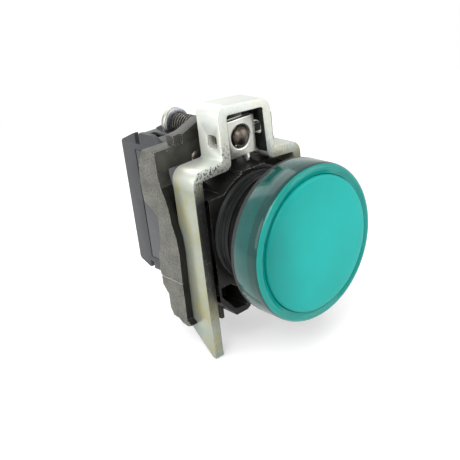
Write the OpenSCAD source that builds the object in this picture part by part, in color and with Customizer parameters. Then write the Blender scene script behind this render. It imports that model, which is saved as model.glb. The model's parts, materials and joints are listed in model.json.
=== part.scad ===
/* [Head] */
// Outside diameter of the threaded barrel that goes through the panel
barrel_d = 21.5; // [20:0.1:21.8]
// Bore of the barrel, the light well
well_d = 17.2; // [14:0.2:18]
// Outside diameter of the lens
lens_d = 29; // [28.4:0.1:34]
// Height of the lens in front of the gasket
lens_h = 6.4; // [6:0.1:9]
// Wall of the lens skirt
lens_wall = 1.1; // [0.8:0.1:1.4]
// Width of the rounded rim round the satin face
lens_rim = 2.03; // [1.6:0.01:3]
// Depth of the metal bezel ring inside the lens skirt
bezel_h = 3.05; // [2:0.05:4]
// Thickness of the panel gasket
gasket_t = 0.6; // [0.4:0.1:1]
// How far the lens stands out beyond the gasket
gasket_lip = 0.1; // [0:0.05:0.6]
// Thickness of the white diffuser disc
diffuser_t = 0.6; // [0.4:0.1:0.8]

/* [Collar] */
// Front face of the collar nose, measured from the panel seat
nose_front = 8.3; // [6:0.1:12]
// Length of the nose, front face to locking ring
nose_len = 7.6; // [7:0.1:9]
// Wall round the collar bore at the top and bottom
nose_wall = 0.6; // [0.4:0.1:1]
// Wall at the flat cheeks of the nose
cheek_wall = 0.38; // [0.3:0.01:0.5]
// Drop of the two lower lobes below the axis
lobe_drop = 15.95; // [15:0.05:17]
// Floor left behind the blind pockets of the lobes
pocket_floor = 1.4; // [1:0.1:5]
// Width of the slot for the locking ring
ring_slot_w = 1.4; // [1.3:0.05:1.8]
// Radial wall of the locking ring
ring_wall = 0.83; // [0.6:0.01:0.9]
// Reach of the finger lever beyond the locking ring
lever_reach = 3.1; // [2:0.1:3.2]
// Thickness of each arm
arm_t = 2.7; // [2.2:0.1:3]
// Thickness of the arm's lip outside the leg of the strip
guide_t = 1.5; // [1:0.1:1.8]
// Depth of the top bar, front to back
bar_depth = 3.6; // [3:0.1:4.5]
// Gap between locking ring and top bar
bar_gap = 1.6; // [1.4:0.1:2.4]
// Height of the top bar
bar_h = 3.8; // [3.4:0.1:4.5]
// Height of the crest above the bar
crest_h = 3.7; // [3.2:0.1:5]

/* [Clamp] */
// Thickness of the bent steel strip
strip_t = 2.03; // [1.8:0.01:2.2]
// Width of the strip, front to back
strip_w = 6.07; // [5:0.01:6.1]
// Front edge of the strip behind the front of the nose
strip_back = 0.88; // [0.5:0.02:0.9]
// Outside width of the loop round the screw
loop_w = 12.6; // [12:0.1:14]
// Top of the loop above the screw
loop_up = 7.2; // [6.6:0.1:9]
// Gap between the shoulders and the nose
shoulder_gap = 0.7; // [0.5:0.1:0.9]
// Reach of the leg tips below the axis
leg_drop = 23.4; // [20:0.1:27]
// Outside bend radius of the strip
bend_r = 2.4; // [2.3:0.1:3]
// Diameter of the clamp screw
screw_d = 4.1; // [3.6:0.05:4.2]
// Length of the clamp screw, plate to head
screw_l = 17.65; // [16.8:0.05:20]
// Diameter of the screw head
head_d = 5.4; // [5:0.1:6]
// Height of the screw head
head_h = 1.8; // [1.4:0.1:2.2]
// Thickness of the pressed clamp plate in the loop
plate_t = 1.5; // [1.2:0.1:1.8]

/* [Lamp module] */
// Width of the lamp module
module_w = 10; // [9.9:0.1:12]
// Length of the lamp module, front to back
module_l = 18.9; // [18.8:0.1:23]
// Length of the neck between collar and module
neck_l = 3.3; // [3.2:0.1:4]
// Reach of the lamp module above the axis
module_up = 15.2; // [15:0.1:16]
// Reach of the lamp module below the axis
module_down = 16; // [15.6:0.1:18]
// Thickness of the module side walls
module_wall = 0.85; // [0.7:0.05:1.1]
// Height of the terminal screws above and below the axis
terminal_z = 9; // [8.8:0.1:9.2]
// Diameter of the terminal screws
terminal_d = 3.2; // [2.5:0.1:3.5]
// Side length of the square clamping washers
washer_s = 6; // [5:0.1:6.2]
// Travel of the terminal washers when the screws are backed out
terminal_travel = 3; // [2:0.1:3]
// Diameter of the lamp
lamp_d = 5; // [3:0.1:5.4]

/* [Fits] */
// Radial gap of turning parts
run_fit = 0.05; // [0.03:0.01:0.08]
// Gap beside sliding and seated parts
slide_fit = 0.1; // [0.06:0.01:0.12]
// Radial gap between barrel and collar bore
bore_fit = 0.12; // [0.05:0.01:0.15]
// Gap between the nose and each leg of the strip
leg_gap = 0.12; // [0.1:0.01:0.3]

/* [Hidden] */
barrel_r = barrel_d / 2;
bore_r = barrel_r + bore_fit;
nose_r = bore_r + nose_wall;
cheek_x = bore_r + cheek_wall;
lens_r = lens_d / 2;
skirt_r = lens_r - lens_wall;
bezel_r = skirt_r - run_fit;
flange_r = bezel_r - 1.15;
lens_rear = -gasket_t - run_fit;
lens_face = -gasket_t - lens_h;
face_r = lens_r - lens_rim;
groove_r = barrel_r - 0.75;
ring_slot = nose_front + nose_len;
ring_t = ring_slot_w - 2 * slide_fit;
ring_y = ring_slot + slide_fit;
ring_r = bore_r + ring_wall;
frame_y = ring_slot + ring_slot_w;
barrel_l = frame_y + 1.3;
bar_front = frame_y + 0.1;
frame_rear = bar_front + bar_depth;
web_t = 1.4;
web_y = frame_rear - web_t;
bar_z = ring_r + bar_gap;
bar_top = bar_z + bar_h;
leg_in = cheek_x + leg_gap;
leg_out = leg_in + strip_t;
guide_in = leg_out + slide_fit;
collar_x = guide_in + guide_t;
arm_in = collar_x - arm_t;
loop_out = loop_w / 2;
loop_in = loop_out - strip_t;
shoulder_low = nose_r + shoulder_gap;
shoulder_top = shoulder_low + strip_t;
clamp_front = nose_front + strip_back;
clamp_rear = clamp_front + strip_w;
screw_z = bar_z + 3.7;
loop_top = screw_z + loop_up;
plate_y = clamp_front + 1.62;
plate_x = loop_in - 0.65;
ear_z = screw_z + 0.6;
screw_r = screw_d / 2;
screw_bore = screw_r + run_fit;
neck_r = screw_r - 0.35;
shank_y = plate_y + plate_t + run_fit;
head_front = shank_y + screw_l;
foot_rear = frame_y + 2.1;
module_x = module_w / 2;
module_front = frame_rear + neck_l;
module_rear = module_front + module_l;
cover_y0 = module_front + 0.9;
cover_y1 = module_rear - 4.5;
floor_top = screw_z - head_d / 2 - 1.7;
cover_z0 = 2.7 - module_down;
cover_z1 = floor_top - 1.3;
cavity_y0 = module_front + 1.2;
cavity_z0 = 3.7 - module_down;
cavity_z1 = floor_top - 2.2;
neck_x = module_x - 0.6;
neck_z = 8;
neck_y = web_y - 0.8;
tube_r = lamp_d / 2 + 0.9;
latch_x = 2.3;
latch_drop = 1.2;
spring_y = frame_rear + 1.7;
washer_t = 1;
room_y1 = module_rear - 1.9;
washer_y = room_y1 - slide_fit - terminal_travel - washer_t;
plate_rear = washer_y - run_fit;
room_y0 = plate_rear - 3.7;
cavity_y1 = room_y0 - 0.4;
room_s = washer_s + 4 * slide_fit;
term_r = terminal_d / 2;
board_t = 1.6;
board_y0 = module_front + 1.7;
board_y1 = cavity_y1 - slide_fit;
lamp_y = board_y0 - 3;
pin_z = bar_z + 0.95;
lever_a = 28.6;
lever_end = (ring_r + lever_reach) * cos(lever_a) + 1.2 * sin(lever_a);

floor_low = 2.8 - module_down;

// front outline in x and z, pushed back along y
module push(y, depth)
  translate([0, y + depth, 0])
    rotate([90, 0, 0])
      linear_extrude(depth)
        children();

// side outline in y and z, pushed along x
module side(x, width)
  translate([x, 0, 0])
    rotate([90, 0, 90])
      linear_extrude(width)
        children();

// outline in radius and y, turned about the axis of the light
module turned()
  rotate([-90, 0, 0])
    rotate_extrude($fn = 96)
      children();

// round bar along y
module rod(x, z, y, length, r)
  translate([x, y, z])
    rotate([-90, 0, 0])
      cylinder(h = length, r = r, $fn = 48);

// plain box by its corners
module block(x0, x1, y0, y1, z0, z1)
  translate([x0, y0, z0])
    cube([x1 - x0, y1 - y0, z1 - z0]);

module seal_gasket()
  color("black")
    turned()
      polygon([[barrel_r + slide_fit, -gasket_t], [lens_r - gasket_lip, -gasket_t],
        [lens_r - gasket_lip, 0], [barrel_r + slide_fit, 0]]);

module bezel_ring()
  color("silver")
    turned()
      polygon([[flange_r + run_fit, -gasket_t], [flange_r + run_fit, -gasket_t - bezel_h],
        [bezel_r - 0.3, -gasket_t - bezel_h], [bezel_r, -gasket_t - bezel_h + 0.3],
        [bezel_r, -gasket_t]]);

module lens_cap()
  color("turquoise")
    turned()
      polygon([[0, lens_face - 0.06], [face_r * 0.6, lens_face - 0.03], [face_r - 0.2, lens_face],
        [face_r, lens_face + 0.2], [face_r, lens_face + 0.6], [skirt_r - 0.1, lens_face + 0.6],
        [skirt_r, lens_face + 0.34], [lens_r - 0.6, lens_face + 0.45],
        [lens_r - 0.25, lens_face + 0.72], [lens_r - 0.06, lens_face + 1.1],
        [lens_r, lens_face + 1.5], [lens_r, lens_rear - 0.15], [lens_r - 0.15, lens_rear],
        [skirt_r + 0.55, lens_rear], [skirt_r + 0.55, lens_rear - 0.95],
        [skirt_r, lens_rear - 0.95], [skirt_r, lens_face + 1.9], [skirt_r - 0.6, lens_face + 1.2],
        [0, lens_face + 1.2]]);

module lens_seal()
  color("black")
    turned()
      polygon([[skirt_r + run_fit, lens_rear - 0.1], [skirt_r + run_fit, lens_rear - 0.9],
        [skirt_r + 0.5, lens_rear - 0.9], [skirt_r + 0.5, lens_rear - 0.1]]);

module diffuser()
  color("white")
    turned()
      polygon([[0, -gasket_t - 4.4 - diffuser_t], [flange_r - 0.5, -gasket_t - 4.4 - diffuser_t],
        [flange_r - 0.5, -gasket_t - 4.4], [0, -gasket_t - 4.4]]);

module head_body()
  color("dimgray")
    difference() {
      turned()
        polygon([[flange_r, -gasket_t], [barrel_r, -gasket_t], [barrel_r, ring_slot - 0.1],
          [groove_r, ring_slot - 0.1], [groove_r, frame_y + 0.1], [barrel_r, frame_y + 0.1],
          [barrel_r, barrel_l - 0.3], [barrel_r - 0.3, barrel_l], [well_d / 2, barrel_l],
          [well_d / 2, -gasket_t - 2], [flange_r - 1.3, -gasket_t - 4.4],
          [flange_r, -gasket_t - 4.4]]);
      for (a = [5, 125, 245])
        rotate([0, -a, 0])
          block(groove_r - 0.01, barrel_r + 1, frame_y, barrel_l + 1, -1.4, 1.4);
    }

module lobe_outline()
  polygon([[-cheek_x, -5.5], [-cheek_x - 0.05, 7.15 - lobe_drop],
    [-cheek_x - 0.05, 4.15 - lobe_drop], [-cheek_x + 3.5, -lobe_drop],
    [-cheek_x + 6.3, -lobe_drop], [-cheek_x + 7.15, 0.45 - lobe_drop], [-cheek_x + 7.15, -9]]);

module lobe_pocket()
  difference() {
    polygon([[-cheek_x + 0.4, 7.05 - lobe_drop], [-cheek_x + 0.5, 5 - lobe_drop],
      [-cheek_x + 3.45, 1.35 - lobe_drop], [-cheek_x + 6.3, 1.05 - lobe_drop],
      [-cheek_x + 6.4, -9]]);
    circle(r = nose_r + 0.75, $fn = 96);
  }

module both_lobes() {
  lobe_outline();
  mirror([1, 0])
    lobe_outline();
}

module nose_outline() {
  intersection() {
    circle(r = nose_r, $fn = 96);
    square([2 * cheek_x, 4 * nose_r], center = true);
  }
  translate([-cheek_x, -9])
    square([2 * cheek_x, 17.6]);
  translate([-3, 8])
    square([6, nose_r - 7.95]);
  both_lobes();
}

// y behind the frame's front face, z above the axis
module arm_outline()
  translate([frame_y, 0])
    polygon([[3.74, bar_top], [5.04, bar_top - 2.03], [5.68, 12.97], [5.84, 10.95],
      [5.73, 8.97], [5.62, 6.85], [3.35, 5.49], [1.9, 4.34], [1.95, 2.2], [2.66, -2.6],
      [3.36, -3.43], [3.76, -7.19], [3.48, -8.4], [3.52, -10.16], [2.07, -11.87],
      [2.1, -14.76], [1.35, -16.28], [-0.17, -16.4], [-1.25, -17.13], [-2.72, -17.37],
      [-3.9, -16.9], [-2.7, -16], [-2.84, -11.5], [-2.85, -8.3], [-3.2, -1.93],
      [-2.98, 1.07], [-2.14, 3.88], [-1.77, 6.78], [-1.17, 8.6], [-0.4, 10.39],
      [0.04, 12.24], [0.2, 14.05], [0.12, bar_top]]);

module arm(s)
  difference() {
    side(s > 0 ? arm_in : -collar_x, arm_t)
      arm_outline();
    // room for the leg of the strip
    block(s > 0 ? arm_in - 1 : -guide_in, s > 0 ? guide_in : -arm_in + 1,
      0, clamp_rear + 0.6, -40, 40);
    // room for the finger lever
    if (s > 0)
      block(arm_in - 1, lever_end + 2 * slide_fit, 0, frame_y, 4, bar_z + 0.2);
    // parting grooves
    for (z = [bar_z + 0.5, -8.3])
      block(s > 0 ? collar_x - 0.12 : -collar_x - 1, s > 0 ? collar_x + 1 : -collar_x + 0.12,
        frame_y - 5, frame_y + 9, z, z + 0.22);
  }

module crest_outline()
  translate([0, bar_top])
    polygon([[-10, -1], [-10, 1.6], [-7.8, 1.8], [-6.1, 2.4], [-4.5, crest_h - 0.6],
      [-2.2, crest_h - 0.25], [0, crest_h], [2.2, crest_h - 0.25], [4.5, crest_h - 0.6],
      [6.1, 2.4], [7.8, 1.8], [10, 1.6], [10, -1]]);

module collar_body()
  color("slategray")
    difference() {
      union() {
        push(nose_front, nose_len)
          nose_outline();
        // lower lobes run past the locking ring to the foot of the frame
        push(ring_slot - 0.5, foot_rear - ring_slot + 0.5)
          difference() {
            both_lobes();
            circle(r = ring_r + 0.15, $fn = 96);
          }
        push(frame_y, frame_rear - frame_y) {
          circle(r = nose_r + 0.7, $fn = 96);
          translate([-arm_in - 0.1, -9])
            square([2 * arm_in + 0.2, 11]);
          translate([-4, 10])
            square([8, bar_z - 9.9]);
        }
        block(-collar_x, collar_x, bar_front, frame_rear, bar_z, bar_top);
        push(bar_front, 2.6)
          crest_outline();
        arm(-1);
        arm(1);
        // foot bar and its two ribs
        block(-arm_in - 0.1, arm_in + 0.1, frame_y, foot_rear, -lobe_drop - 0.25, -8.9);
        for (s = [-1, 1])
          block(s * (cheek_x - 2.5) - 0.35, s * (cheek_x - 2.5) + 0.35, nose_front + 3.1,
            frame_y + 0.7, -lobe_drop - 1.35, 1.75 - lobe_drop);
      }
      rod(0, 0, nose_front - 1, web_y - nose_front + 1, bore_r);
      // opening for the neck of the lamp module
      block(-neck_x - slide_fit, neck_x + slide_fit, nose_front + 1, frame_rear + 1,
        -neck_z - slide_fit, neck_z + slide_fit);
      push(nose_front - 1, nose_len - pocket_floor + 1) {
        lobe_pocket();
        mirror([1, 0])
          lobe_pocket();
      }
      rod(0, screw_z, bar_front - 5, bar_depth + 10, screw_bore);
      // crest front set back outside its middle
      block(-11, -8.4, bar_front - 1, bar_front + 0.5, bar_top, bar_top + 9);
      block(8.4, 11, bar_front - 1, bar_front + 0.5, bar_top, bar_top + 9);
    }

module lock_ring()
  color("silver")
    union() {
      difference() {
        rod(0, 0, ring_y, ring_t, ring_r);
        rod(0, 0, ring_y - 1, ring_t + 2, bore_r);
      }
      // teeth in the groove of the barrel
      for (a = [-20, 100, 220])
        rotate([0, -a, 0])
          block(groove_r + slide_fit, ring_r - 0.3, ring_y, ring_y + ring_t, -1, 1);
      // finger lever
      rotate([0, -lever_a, 0])
        block(ring_r - 0.4, ring_r + lever_reach, ring_y, ring_y + ring_t, -1.2, 1.2);
      // spring anchor
      rotate([0, -127, 0])
        block(ring_r - 0.4, ring_r + 1.3, ring_y, ring_y + ring_t, -0.9, 0.9);
    }

module spring_pin()
  color("silver")
    union() {
      rod(-6, pin_z, ring_y + 0.15, 0.35, 1.25);
      rod(-6, pin_z, ring_y + 0.3, bar_front - ring_y - 0.3, 0.7);
    }

module lock_spring()
  color("silver")
    union() {
      difference() {
        rod(-6, pin_z, ring_y + 0.55, 0.8, 1.15);
        rod(-6, pin_z, ring_y, 3, 0.7);
      }
      translate([-6.3, ring_y + 0.95, pin_z + 0.95])
        rotate([0, -30, 0])
          block(-4, 0, -0.2, 0.2, -0.2, 0.2);
      translate([-9.6, ring_y + 0.95, pin_z - 0.9])
        rotate([0, 25, 0])
          block(-0.2, 0.2, -0.2, 0.2, -1.3, 0.2);
    }

module bend(x, z, a, outer)
  translate([x, z])
    rotate(a)
      difference() {
        intersection() {
          circle(r = outer, $fn = 48);
          square([outer + 1, outer + 1]);
        }
        circle(r = outer - strip_t, $fn = 32);
      }

module half_strip() {
  inner = bend_r - strip_t;
  // leg
  translate([-leg_out, -leg_drop])
    square([strip_t, leg_drop + shoulder_top - bend_r]);
  bend(-leg_out + bend_r, shoulder_top - bend_r, 90, bend_r);
  // shoulder
  translate([-leg_out + bend_r, shoulder_top - strip_t])
    square([leg_out - bend_r - loop_out - inner, strip_t]);
  bend(-loop_out - inner, shoulder_top + inner, -90, bend_r);
  // loop wall
  translate([-loop_out, shoulder_top + inner])
    square([strip_t, loop_top - bend_r - shoulder_top - inner]);
  bend(-loop_out + bend_r, loop_top - bend_r, 90, bend_r);
  translate([-loop_out + bend_r, loop_top - strip_t])
    square([loop_out - bend_r + 0.01, strip_t]);
}

module clamp_stirrup()
  color("lightgray")
    difference() {
      push(clamp_front, strip_w) {
        half_strip();
        mirror([1, 0])
          half_strip();
      }
      // windows for the ears of the clamp plate
      block(-loop_out - 1, loop_out + 1, plate_y - 0.5, plate_y + 2, ear_z - 1.2, ear_z + 1.2);
      // tapered leg tips
      side(-leg_out - 1, 2 * leg_out + 2)
        polygon([[clamp_rear + 0.01, -leg_drop + 4.9], [clamp_front + 0.8, -leg_drop + 0.1],
          [clamp_front + 0.6, -leg_drop - 1], [clamp_rear + 2, -leg_drop - 1],
          [clamp_rear + 2, -leg_drop + 4.9]]);
    }

module clamp_plate()
  color("silver")
    difference() {
      union() {
        block(-plate_x, plate_x, plate_y, plate_y + plate_t, shoulder_low + 1, screw_z + 2.4);
        // rolled top edge
        translate([-plate_x, plate_y + plate_t - 1, screw_z + 2.4])
          rotate([0, 90, 0])
            cylinder(h = 2 * plate_x, r = 1, $fn = 32);
        // ears in the windows of the strip
        for (s = [-1, 1])
          block(s > 0 ? plate_x - 0.3 : -loop_out + 0.4, s > 0 ? loop_out - 0.4 : -plate_x + 0.3,
            plate_y - 0.35, plate_y + plate_t, ear_z - 1.05, ear_z + 1.05);
        // flared lower corners
        block(-loop_in + slide_fit, loop_in - slide_fit, plate_y, plate_y + plate_t,
          shoulder_low + 0.9, shoulder_low + 1.5);
        // guide tongue above the nose
        block(-1.9, 1.9, plate_y + 0.2, plate_y + plate_t - 0.2, nose_r + 0.25,
          shoulder_low + 1.1);
      }
      rod(0, screw_z, plate_y - 2, plate_t + 3, neck_r + slide_fit);
      rod(0, screw_z, plate_y - 2, 2.35, screw_r + 0.15);
    }

module clamp_screw()
  color("goldenrod")
    difference() {
      union() {
        rod(0, screw_z, shank_y, screw_l, screw_r);
        rod(0, screw_z, plate_y + 0.25, plate_t, neck_r);
        // spread tip that holds the screw in the plate
        translate([0, plate_y - 0.4, screw_z])
          rotate([-90, 0, 0])
            cylinder(h = 0.3, r1 = 1.1, r2 = screw_r - 0.1, $fn = 48);
        rod(0, screw_z, plate_y - 0.1, 0.4, screw_r - 0.1);
        rod(0, screw_z, head_front, head_h - 0.5, head_d / 2);
        translate([0, head_front + head_h - 0.5, screw_z])
          rotate([-90, 0, 0])
            cylinder(h = 0.5, r1 = head_d / 2, r2 = head_d / 2 - 0.4, $fn = 48);
      }
      translate([0, head_front, screw_z])
        rotate([0, 40, 0]) {
          block(-4, 4, head_h - 1, head_h + 1, -0.4, 0.4);
          block(-0.35, 0.35, head_h - 1, head_h + 1, -1.5, 1.5);
        }
    }

module screw_washer()
  color("steelblue")
    difference() {
      rod(0, screw_z, head_front - 0.6, 0.55, head_d / 2 + 0.05);
      rod(0, screw_z, head_front - 2, 4, screw_r + run_fit);
    }

module arm_clip(s)
  union() {
    block(s > 0 ? arm_in - 3.3 : -arm_in, s > 0 ? arm_in : -arm_in + 3.3, foot_rear,
      foot_rear + 0.4, -lobe_drop - 0.15, -13);
    side(s > 0 ? arm_in - 0.4 : -arm_in, 0.4)
      translate([foot_rear, 0])
        polygon([[0, -lobe_drop - 0.15], [0.7, -lobe_drop - 0.15], [0.75, -12.1], [1.8, -12.4],
          [1.4, -10.2], [1.65, -9.6], [1.65, -9.2], [0, -9.6]]);
  }

module arm_clips()
  color("gainsboro") {
    arm_clip(-1);
    arm_clip(1);
  }

module module_outline()
  polygon([[module_front, 3.6 - module_down], [module_front + 4.3, 0.4 - module_down],
    [module_front + 11.7, -module_down], [module_rear - 3.3, -module_down],
    [module_rear - 0.4, 1.1 - module_down], [module_rear, 1.6 - module_down],
    [module_rear, module_up - 2.8], [module_rear - 0.4, module_up - 2.3],
    [module_rear - 4.7, module_up - 0.45], [module_rear - 7.9, module_up],
    [module_front + 7.7, module_up - 0.05], [module_front + 4.9, module_up - 1.55],
    [module_front + 2.1, module_up - 3.6], [module_front, module_up - 4.6]]);

module terminal_room(z)
  union() {
    block(-room_s / 2, room_s / 2, room_y0, room_y1, z - room_s / 2, z + room_s / 2);
    rod(0, z, room_y1 - 1, 10, washer_s / 2 + slide_fit);
  }

module module_housing()
  color("gray")
    difference() {
      union() {
        side(-module_x, module_w)
          module_outline();
        // neck through the collar frame
        block(-neck_x, neck_x, neck_y, module_front + 1, -neck_z, neck_z);
        // shoulders against the frame, fixed hook below
        block(-neck_x, neck_x, frame_rear, module_front + 1, -neck_z - 2.4, -neck_z + 1);
        block(-neck_x, neck_x, frame_rear, module_front + 1, neck_z - 1, neck_z + 1.6);
        block(-neck_x + 1, neck_x - 1, neck_y + 0.05, web_y - slide_fit, -neck_z - 1.1,
          -neck_z + 1);
      }
      // light tube and electronics room
      rod(0, 0, neck_y - 1, cavity_y0 - neck_y + 2, tube_r);
      block(-module_x + module_wall, module_x - module_wall, cavity_y0, cavity_y1,
        cavity_z0, cavity_z1);
      // rebate for the side cover
      block(-module_x - 1, -module_x + module_wall, cover_y0, cover_y1, cover_z0, cover_z1);
      // slot for the latch and its spring
      block(-latch_x - slide_fit, latch_x + slide_fit, neck_y - 1, module_front - 0.2,
        neck_z - 2.6, neck_z + 5);
      translate([0, spring_y, neck_z - 4])
        cylinder(h = 3, r = 1.15, $fn = 32);
      terminal_room(terminal_z);
      terminal_room(-terminal_z);
      // legs of the terminal plates reach the board
      block(-1.2, 1.2, cavity_y1 - 1, room_y0 + 1, terminal_z - 3.2, terminal_z - 0.8);
      block(-1.2, 1.2, cavity_y1 - 1, room_y0 + 1, -terminal_z + 0.8, -terminal_z + 3.2);
      // driver trough above, wire trough below
      block(-module_x + 1, module_x - 1, module_front + 2.7, module_rear + 1, floor_top,
        module_up + 1);
      block(-module_x + 1, module_x - 1, module_front + 8.7, module_rear + 1,
        -module_down - 1, floor_low);
      // wire entries
      block(-2.3, 2.3, plate_rear, room_y1, terminal_z, module_up + 1);
      block(-2.3, 2.3, plate_rear, room_y1, -module_down - 1, -terminal_z);
      // notches in the side walls
      block(-module_x - 1, module_x + 1, module_rear - 6.8, module_rear - 5.2, floor_top,
        module_up + 1);
      block(-module_x - 1, module_x + 1, module_rear - 5, module_rear - 3.8, -module_down - 1,
        1.6 - module_down);
    }

module module_cover()
  color("gray")
    difference() {
      block(-module_x, -module_x + module_wall - 0.05, cover_y0 + 0.12, cover_y1 - 0.12,
        cover_z0 + 0.12, cover_z1 - 0.12);
      // chamfer along the visible joint
      side(-module_x - 0.01, 0.3)
        polygon([[cover_y1 - 0.35, cover_z0], [cover_y1, cover_z0], [cover_y1, cover_z1],
          [cover_y1 - 0.35, cover_z1]]);
    }

module module_latch()
  color("darkgray")
    union() {
      block(-latch_x, latch_x, neck_y + 0.05, module_front - 0.3, neck_z - 1.2, neck_z);
      // hook
      block(-latch_x, latch_x, neck_y + 0.05, web_y - slide_fit, neck_z - 0.5, neck_z + 1.1);
      // thumb pad
      block(-latch_x, latch_x, frame_rear + 0.3, frame_rear + 1.6, neck_z - 0.5, neck_z + 4.3);
      block(-latch_x, latch_x, frame_rear + 0.3, frame_rear + 2.6, neck_z + 3.3, neck_z + 4.3);
    }

module latch_spring()
  color("silver")
    translate([0, spring_y, neck_z - 3.95])
      linear_extrude(height = 2.7, twist = -1080, slices = 36)
        translate([0.7, 0])
          circle(r = 0.22, $fn = 6);

module led_board()
  color("green")
    difference() {
      block(-board_t / 2, board_t / 2, board_y0, board_y1, cavity_z0 + 0.1, cavity_z1 - 0.1);
      for (z = [-1.27, 1.27])
        rod(0, z, board_y0 - 1, 2.5, 0.3);
    }

module lamp()
  color("turquoise")
    union() {
      rod(0, 0, lamp_y - 3.4, 3.4, lamp_d / 2);
      translate([0, lamp_y - 3.4, 0])
        intersection() {
          sphere(r = lamp_d / 2, $fn = 48);
          rotate([90, 0, 0])
            cylinder(h = 5, r = 3, $fn = 48);
        }
      rod(0, 0, lamp_y, 0.8, lamp_d / 2 + 0.4);
      for (z = [-1.27, 1.27])
        rod(0, z, lamp_y + 0.5, board_y0 - lamp_y + 0.5, 0.27);
    }

module resistor()
  color("tan")
    union() {
      translate([board_t / 2 + 1.2, board_y0 + 3.3, -2.6])
        cylinder(h = 6.4, r = 1.15, $fn = 32);
      translate([board_t / 2 + 1.2, board_y0 + 3.3, -4.4])
        cylinder(h = 10, r = 0.3, $fn = 20);
      for (z = [-4.4, 5.6])
        translate([board_t / 2, board_y0 + 3.3, z])
          rotate([0, 90, 0])
            cylinder(h = 1.5, r = 0.3, $fn = 20);
    }

module capacitor()
  color("royalblue")
    union() {
      translate([board_t / 2, board_y0 + 3.3, -8.2])
        rotate([0, 90, 0])
          cylinder(h = 2.9, r = 2.7, $fn = 48);
    }

module terminal_plate(s)
  difference() {
    union() {
      block(-3.1, 3.1, plate_rear - 1.2, plate_rear, s * terminal_z - 3.1,
        s * terminal_z + 3.1);
      // leg to the board
      block(-1, 1, board_y1 + run_fit, plate_rear - 0.6, s * (terminal_z - 2.55) - 0.5,
        s * (terminal_z - 2.55) + 0.5);
    }
    rod(0, s * terminal_z, plate_rear - 5, 10, term_r + run_fit);
  }

module terminal_plate_top()
  color("gold")
    terminal_plate(1);

module terminal_plate_bottom()
  color("gold")
    terminal_plate(-1);

module terminal_washer(z)
  difference() {
    block(-washer_s / 2, washer_s / 2, washer_y, washer_y + washer_t, z - washer_s / 2,
      z + washer_s / 2);
    rod(0, z, washer_y - 5, 10, term_r + slide_fit);
  }

module terminal_washer_top()
  color("silver")
    terminal_washer(terminal_z);

module terminal_washer_bottom()
  color("silver")
    terminal_washer(-terminal_z);

module terminal_screw(z)
  difference() {
    union() {
      rod(0, z, room_y0 + 0.3, washer_y + washer_t - room_y0, term_r);
      rod(0, z, washer_y + washer_t + run_fit, 1.8, washer_s / 2 - 0.15);
    }
    block(-4, 4, washer_y + washer_t + 0.9, washer_y + washer_t + 4, z - 0.4, z + 0.4);
    block(-0.4, 0.4, washer_y + washer_t + 0.9, washer_y + washer_t + 4, z - 1.5, z + 1.5);
  }

module terminal_screw_top()
  color("silver")
    terminal_screw(terminal_z);

module terminal_screw_bottom()
  color("silver")
    terminal_screw(-terminal_z);

seal_gasket();
bezel_ring();
lens_cap();
lens_seal();
diffuser();
head_body();
collar_body();
lock_ring();
lock_spring();
spring_pin();
clamp_stirrup();
clamp_plate();
clamp_screw();
screw_washer();
arm_clips();
module_housing();
module_cover();
module_latch();
latch_spring();
led_board();
lamp();
resistor();
capacitor();
terminal_plate_top();
terminal_plate_bottom();
terminal_washer_top();
terminal_washer_bottom();
terminal_screw_top();
terminal_screw_bottom();
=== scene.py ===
import bmesh
import bpy
import json
import math
from mathutils import Matrix, Vector


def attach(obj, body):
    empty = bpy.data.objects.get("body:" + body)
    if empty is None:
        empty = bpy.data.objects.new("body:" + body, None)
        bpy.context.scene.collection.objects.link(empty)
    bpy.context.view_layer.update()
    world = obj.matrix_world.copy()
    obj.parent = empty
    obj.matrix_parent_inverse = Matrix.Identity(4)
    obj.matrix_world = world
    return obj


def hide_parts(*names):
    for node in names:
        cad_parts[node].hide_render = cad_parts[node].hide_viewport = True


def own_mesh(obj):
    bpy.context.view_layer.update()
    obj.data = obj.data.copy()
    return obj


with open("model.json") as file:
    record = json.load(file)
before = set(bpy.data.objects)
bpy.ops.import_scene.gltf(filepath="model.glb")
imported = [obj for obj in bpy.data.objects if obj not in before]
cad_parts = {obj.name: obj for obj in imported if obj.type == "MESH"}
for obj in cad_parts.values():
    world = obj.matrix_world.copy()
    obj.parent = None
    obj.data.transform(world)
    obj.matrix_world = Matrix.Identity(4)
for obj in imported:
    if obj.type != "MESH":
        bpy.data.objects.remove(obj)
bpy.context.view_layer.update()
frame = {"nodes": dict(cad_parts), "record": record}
nodes = frame["nodes"]
mm = 0.001
print("stage: frame loaded")


# ---- small helpers for meshes

def newPiece(name, bm, body, materials, replaced=(), angle=35):
    bm.normal_update()
    mesh = bpy.data.meshes.new(name)
    bm.to_mesh(mesh)
    bm.free()
    piece = bpy.data.objects.new(name, mesh)
    bpy.context.scene.collection.objects.link(piece)
    for material in materials:
        mesh.materials.append(material)
    mesh.shade_smooth()
    mesh.set_sharp_from_angle(angle=math.radians(angle))
    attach(piece, body)
    if replaced:
        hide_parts(*replaced)
    return piece


def mergedCopy(name, flat=1.0):  # the node's mesh with its loose triangles joined into flat faces
    bm = bmesh.new()
    bm.from_mesh(nodes[name].data)
    bmesh.ops.remove_doubles(bm, verts=bm.verts[:], dist=2e-6)
    bmesh.ops.dissolve_degenerate(bm, dist=1e-6, edges=bm.edges[:])
    bmesh.ops.dissolve_limit(bm, angle_limit=math.radians(flat), use_dissolve_boundaries=False,
                             verts=bm.verts[:], edges=bm.edges[:], delimit=set())
    return bm


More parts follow.
